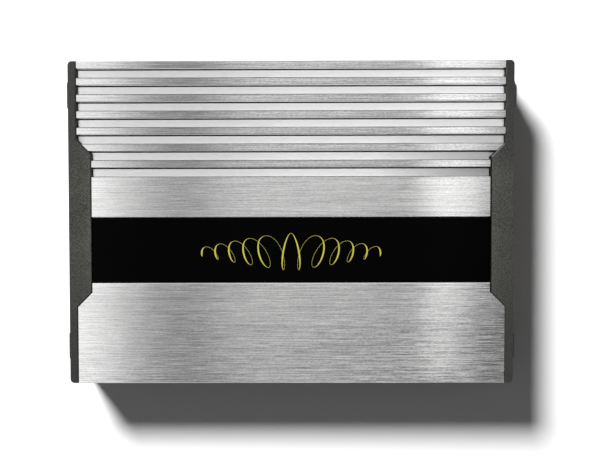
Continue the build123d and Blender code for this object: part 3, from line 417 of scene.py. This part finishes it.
def piece(name, mesh, material, body="chassis"):
    """Makes a mesh into a piece with that finish, riding on a body."""
    bmesh.ops.recalc_face_normals(mesh, faces=mesh.faces)
    data = bpy.data.meshes.new(name)
    mesh.to_mesh(data)
    mesh.free()
    data.materials.append(MATERIALS[material].material)
    made = bpy.data.objects.new(name, data)
    bpy.context.scene.collection.objects.link(made)
    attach(made, body)
    return made


def add_ribbon(mesh, stroke, origin, along, across, thickness):
    """Adds a raised strip along a stroke, a list of (u, v, half width) on the plane of along and across."""
    # The strip's rounded section, as shares of its half width and thickness
    profile = ((-1.0, 0.0), (-0.7, 0.8), (0.0, 1.0), (0.7, 0.8), (1.0, 0.0))
    normal = along.cross(across)
    closed = stroke[0] == stroke[-1]
    points = stroke[:-1] if closed else stroke
    count = len(points)
    rings = []
    for index, (u, v, half) in enumerate(points):
        before = points[index - 1] if closed or index else points[0]
        after = points[(index + 1) % count] if closed or index + 1 < count else points[-1]
        run_u, run_v = after[0] - before[0], after[1] - before[1]
        length = hypot(run_u, run_v)
        ring = []
        for side, height in profile:
            place_u = u - run_v / length * half * side
            place_v = v + run_u / length * half * side
            place = origin + along * place_u + across * place_v + normal * height * thickness
            ring.append(mesh.verts.new(place))
        rings.append(ring)
    corners = len(profile)
    for index in range(count if closed else count - 1):
        first, second = rings[index], rings[(index + 1) % count]
        for corner in range(corners):
            following = (corner + 1) % corners
            mesh.faces.new((first[corner], first[following], second[following], second[corner]))
    if not closed:
        mesh.faces.new(rings[0])
        mesh.faces.new(rings[-1])


def arc(centre_u, centre_v, radius, start, end, half_width, steps=48):
    """A stroke along an arc. Angles are in degrees, clockwise from straight up."""
    angles = [radians(start + (end - start) * step / steps) for step in range(steps + 1)]
    points = [(centre_u + radius * sin(a), centre_v + radius * cos(a), half_width) for a in angles]
    if end - start == 360:
        points[-1] = points[0]
    return points


def line(u0, v0, u1, v1, half_width):
    """A straight stroke with slightly rounded ends."""
    length = hypot(u1 - u0, v1 - v0)
    rounding = half_width * 0.6 / length
    stops = ((0.0, 0.5), (rounding, 1.0), (1 - rounding, 1.0), (1.0, 0.5))
    return [(u0 + (u1 - u0) * t, v0 + (v1 - v0) * t, half_width * share) for t, share in stops]


def gold_flourish():
    """A gilded ornament on the nameplate: pen loops that shrink from the middle, mirrored left and right."""
    reach, loops, steps = 57 * MM, 5.5, 600
    tall, wide, lean = 12 * MM, 6.5 * MM, 0.35
    thin, thick, thickness = 0.09 * MM, 0.5 * MM, 0.06 * MM
    forward = 1.5 * MM
    half = []
    for step in range(steps + 1):
        t = step / steps
        swell = 0.2 + 0.8 * (1 - t) ** 0.9
        spread = min(1.0, 5 * t)
        phase = 2 * pi * loops * t
        v = tall * swell * cos(phase)
        u = reach * t ** 0.9 + (wide * swell * sin(phase) + lean * v) * spread
        pen = thin + (thick - thin) * max(0.0, sin(phase)) ** 1.6
        half.append((u, v, pen))
    stroke = [(-u, v, pen) for u, v, pen in reversed(half[1:])] + half
    low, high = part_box("nameplate")
    centre = (low + high) / 2
    origin = Vector((centre.x, centre.y - forward, high.z))
    mesh = bmesh.new()
    add_ribbon(mesh, stroke, origin, Vector((1, 0, 0)), Vector((0, 1, 0)), thickness)
    piece("gold_flourish", mesh, "gilt")


def printed(name, strokes, panel, outward):
    """Printed marks on an end panel. Strokes are in (y, z), and outward is +1 or -1 along X."""
    low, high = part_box(panel)
    origin = Vector((high.x if outward > 0 else low.x, 0, 0))
    along = Vector((0, outward, 0))
    thickness = 0.03 * MM
    mesh = bmesh.new()
    for stroke in strokes:
        mirrored = [(outward * u, v, half) for u, v, half in stroke]
        add_ribbon(mesh, mirrored, origin, along, Vector((0, 0, 1)), thickness)
    piece(name, mesh, "white_plastic")


def plus_sign(u, v, size, half_width):
    return [line(u - size, v, u + size, v, half_width), line(u, v - size, u, v + size, half_width)]


def centre_of(node):
    low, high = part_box(node)
    return (low + high) / 2


def signal_sockets():
    """The middles of the four signal sockets, in Y and Z."""
    radius = BARREL_RADIUS * MM
    low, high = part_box("rca_barrels")
    return [(y, z) for y in (low.y + radius, high.y - radius) for z in (low.z + radius, high.z - radius)]


KNOBS = ("level_knob", "lowpass_knob", "highpass_knob", "bass_knob")


def input_print():
    """Dials round the knobs, rings round the sockets and stops beside the sliders."""
    fine, bold = 0.11 * MM, 0.18 * MM
    strokes = []
    for knob in KNOBS:
        centre = centre_of(knob)
        middle = Vector((centre.y, centre.z))
        strokes.append(arc(*middle, 6.5 * MM, -135, 135, fine))
        for tick in range(11):
            angle = radians(-135 + 27 * tick)
            inner, outer = 6.9 * MM, (8.2 if tick % 5 == 0 else 7.7) * MM
            away = Vector((sin(angle), cos(angle)))
            strokes.append(line(*(middle + away * inner), *(middle + away * outer), bold))
    for y, z in signal_sockets():
        strokes.append(arc(y, z, 6.0 * MM, 0, 360, fine))
    for slider, stops in (("crossover_slider", (-2, 0, 2)), ("input_slider", (0, 4))):
        centre = centre_of(slider)
        for stop in stops:
            y = centre.y + stop * MM
            strokes.append(line(y, centre.z + 3.2 * MM, y, centre.z + 4.6 * MM, bold))
    middle = centre_of("remote_socket").y
    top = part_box("remote_socket")[1].z + 1.6 * MM
    strokes.append(line(middle - 6 * MM, top, middle + 6 * MM, top, fine))
    printed("input_panel_print", strokes, "input_panel", -1)


def output_print():
    """Plain signs above the terminals and rings round the lamps."""
    fine, bold, size = 0.12 * MM, 0.2 * MM, 1.1 * MM
    strokes = []
    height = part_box("power_terminal_strip")[1].z + 2.6 * MM
    strokes += plus_sign(centre_of("battery_screw").y, height, size, bold)
    ground = centre_of("ground_screw").y
    for step, reach in enumerate((1.5, 0.95, 0.4)):
        v = height + (0.8 - 0.8 * step) * MM
        strokes.append(line(ground - reach * MM, v, ground + reach * MM, v, fine))
    strokes.append(line(ground, height + 0.8 * MM, ground, height + 1.8 * MM, fine))
    remote = centre_of("remote_turn_on_screw").y
    strokes.append(arc(remote, height, 1.0 * MM, 0, 360, fine))
    speakers = [centre_of(f"speaker_{number}_screw").y for number in (1, 2, 3, 4)]
    for index, y in enumerate(speakers):
        if index % 2 == 0:
            strokes += plus_sign(y, height, size, bold)
        else:
            strokes.append(line(y - size, height, y + size, height, bold))
            previous = speakers[index - 1]
            strokes.append(line(previous + 2.4 * MM, height, y - 2.4 * MM, height, fine))
    for lamp in ("power_led", "protect_led"):
        centre = centre_of(lamp)
        strokes.append(arc(centre.y, centre.z, 2.5 * MM, 0, 360, fine))
    printed("output_panel_print", strokes, "output_panel", 1)


def knob_pointers():
    """A white filled pointer in the groove of each knob."""
    for knob in KNOBS:
        low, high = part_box(knob)
        centre = centre_of(knob)
        start, end = centre.z + 2.8 * MM, high.z - 0.5 * MM
        half_width, thickness = 0.36 * MM, 0.4 * MM
        bottom = Vector((low.x + 0.58 * MM, 0, 0))
        stroke = line(-centre.y, start, -centre.y, end, half_width)
        mesh = bmesh.new()
        add_ribbon(mesh, stroke, bottom, Vector((0, -1, 0)), Vector((0, 0, 1)), thickness)
        piece(f"{knob}_pointer", mesh, "white_plastic", body=knob)


def add_turned(mesh, profile, centre, segments=28):
    """Adds a shape turned about an axis along X. The profile is a closed list of (x, radius)."""
    rings = []
    for segment in range(segments):
        angle = 2 * pi * segment / segments
        ring = [
            mesh.verts.new((x, centre.y + radius * sin(angle), centre.z + radius * cos(angle)))
            for x, radius in profile
        ]
        rings.append(ring)
    for segment in range(segments):
        first, second = rings[segment], rings[(segment + 1) % segments]
        for corner in range(len(profile)):
            following = (corner + 1) % len(profile)
            mesh.faces.new((first[corner], first[following], second[following], second[corner]))


def socket_contacts():
    """The gilded sleeve inside each signal socket that grips a plug's pin."""
    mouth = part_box("rca_inserts_red")[0].x + 0.5 * MM
    outer, bore, depth, lip = 1.56 * MM, 1.2 * MM, 6.0 * MM, 0.25 * MM
    profile = (
        (mouth, outer - lip),
        (mouth + lip, outer),
        (mouth + depth, outer),
        (mouth + depth, bore),
        (mouth + lip, bore),
        (mouth, bore + lip / 2),
    )
    mesh = bmesh.new()
    for y, z in signal_sockets():
        add_turned(mesh, profile, Vector((0, y, z)))
    piece("socket_contacts", mesh, "gold_plate")


# Studio ----------------------------------------------------------------------------------------


def pale_floor():
    """A wide white floor, a little uneven in tone. It reaches this many metres each way from the middle."""
    half = 4.0
    mesh = bmesh.new()
    corners = [mesh.verts.new((x * half, y * half, 0)) for x, y in ((-1, -1), (1, -1), (1, 1), (-1, 1))]
    mesh.faces.new(corners)
    data = bpy.data.meshes.new("floor")
    mesh.to_mesh(data)
    mesh.free()
    finish = Finish("floor_paint", (0.8, 0.8, 0.8), 0.9, Specular_IOR_Level=0.0)
    finish.colour(finish.mix(finish.noise(300), (0.79, 0.79, 0.79), (0.81, 0.81, 0.81)))
    data.materials.append(finish.material)
    floor = bpy.data.objects.new("floor", data)
    bpy.context.scene.collection.objects.link(floor)


# What the brushed top mirrors from left to right: how far along X, in millimetres on the top face, and how
# bright the softboxes above are there
SOFTBOXES = (
    (-145, 2.0),
    (-124, 1.7),
    (-112, 1.3),
    (-98, 0.98),
    (-82, 0.7),
    (-62, 0.61),
    (-40, 0.97),
    (-20, 1.08),
    (30, 1.04),
    (60, 0.9),
    (79, 0.84),
    (92, 2.0),
    (150, 2.0),
    (200, 6.5),
)
# The right softbox ends along a slanted line, where it fades to this share of its brightness
RIGHT_FADE = (111, 125)
RIGHT_SLANT = 125
RIGHT_SHARE = 0.15


def studio_world(camera_height, top_height):
    """Softboxes above for reflections, a dim even light for matt surfaces and white behind."""
    world = bpy.data.worlds.new("studio")
    bpy.context.scene.world = world
    world.use_nodes = True
    world.cycles.sampling_method = "NONE"
    tree = world.node_tree
    background = tree.nodes["Background"]
    background.inputs["Color"].default_value = (1, 1, 1, 1)

    def maths(operation, first, second):
        node = tree.nodes.new("ShaderNodeMath")
        node.operation = operation
        for socket, value in zip(node.inputs, (first, second)):
            if isinstance(value, bpy.types.NodeSocket):
                tree.links.new(value, socket)
            else:
                socket.default_value = value
        return node.outputs["Value"]

    def ranged(value, from_range, to_range):
        node = tree.nodes.new("ShaderNodeMapRange")
        for name, number in zip(RANGE_SOCKETS, (*from_range, *to_range)):
            node.inputs[name].default_value = number
        tree.links.new(value, node.inputs["Value"])
        return node.outputs["Result"]

    place = tree.nodes.new("ShaderNodeTexCoord")
    axes = tree.nodes.new("ShaderNodeSeparateXYZ")
    tree.links.new(place.outputs["Generated"], axes.inputs["Vector"])
    up = maths("MAXIMUM", axes.outputs["Z"], 0.02)
    sideways = maths("DIVIDE", axes.outputs["X"], up)
    backward = maths("DIVIDE", axes.outputs["Y"], up)
    # A place on the top face mirrors the direction whose slope is that place over the camera's distance
    distance = camera_height - top_height
    widest = SOFTBOXES[-1][0]
    reach = widest * MM / distance
    ramp = tree.nodes.new("ShaderNodeValToRGB")
    tree.links.new(maths("ADD", maths("DIVIDE", sideways, 2 * reach), 0.5), ramp.inputs["Fac"])
    stops = ramp.color_ramp.elements
    stops.remove(stops[-1])
    for index, (place_mm, level) in enumerate(SOFTBOXES):
        stop = stops.new(0.5 + place_mm / (2 * widest)) if index else stops[0]
        stop.color = (level, level, level, 1)
    # The softboxes overhead are dimmer in front, but less so at the left
    front = ranged(backward, (-0.25, 0.02), (0.36, 1.09))
    across = maths("MULTIPLY", sideways, distance / MM)
    lift = maths("MULTIPLY", maths("SUBTRACT", 1.06, front), ranged(across, (-135, -85), (0.7, 0.0)))
    overhead = maths("MULTIPLY", ramp.outputs["Color"], maths("ADD", front, lift))
    slanted = maths("SUBTRACT", across, maths("MULTIPLY", backward, RIGHT_SLANT))
    overhead = maths("MULTIPLY", overhead, ranged(slanted, RIGHT_FADE, (1.0, RIGHT_SHARE)))
    # Wide softboxes stand in front and behind
    away = maths("ABSOLUTE", backward, 0.0)
    standing = ranged(away, (1.2, 3.0), (1.6, 0.8))
    share = ranged(away, (0.42, 0.6), (0.0, 1.0))
    overhead = maths("MULTIPLY", overhead, maths("SUBTRACT", 1.0, share))
    mirrored = maths("ADD", overhead, maths("MULTIPLY", standing, share))

    path = tree.nodes.new("ShaderNodeLightPath")
    seen = path.outputs["Is Camera Ray"]
    # Only mirrors in direct view show the softboxes, so a mirror throws little of their light on the floor
    scattered = maths("MINIMUM", path.outputs["Diffuse Depth"], 1.0)
    glossy = maths("MULTIPLY", path.outputs["Is Glossy Ray"], maths("SUBTRACT", 1.0, scattered))
    matt = maths("SUBTRACT", maths("SUBTRACT", 1.0, seen), glossy)
    fill = 0.11
    strength = maths("ADD", maths("MULTIPLY", matt, fill), maths("MULTIPLY", glossy, mirrored))
    strength = maths("ADD", strength, seen)
    tree.links.new(strength, background.inputs["Strength"])


def key_light():
    """One soft round light, high at the back left. Metals mirror the softboxes instead of it."""
    height, slope_x, slope_y = 1.6, -0.557, 0.855
    data = bpy.data.lights.new("key", "AREA")
    data.shape = "DISK"
    data.size = 0.68
    data.energy = 128.0
    light = bpy.data.objects.new("key", data)
    light.location = (slope_x * height, slope_y * height, height)
    light.rotation_euler = (-light.location).to_track_quat("-Z", "Y").to_euler()
    light.visible_glossy = False
    bpy.context.scene.collection.objects.link(light)


def camera():
    """Looks straight down on the top, a little behind its middle."""
    data = bpy.data.cameras.new("camera")
    data.sensor_width = 36.0
    data.lens = 63.476
    data.shift_x = 0.0258
    data.shift_y = -0.0022
    made = bpy.data.objects.new("camera", data)
    made.location = (0.0, 0.0176, 0.717)
    made.rotation_euler = (radians(-2.2528), radians(0.3489), radians(-0.13))
    bpy.context.scene.collection.objects.link(made)
    bpy.context.scene.camera = made
    return made


paint_cad_nodes()
gold_flourish()
input_print()
output_print()
knob_pointers()
socket_contacts()
pale_floor()
key_light()
studio_world(camera().location.z, cad_box[1].z)
bpy.context.scene.view_settings.view_transform = "Standard"
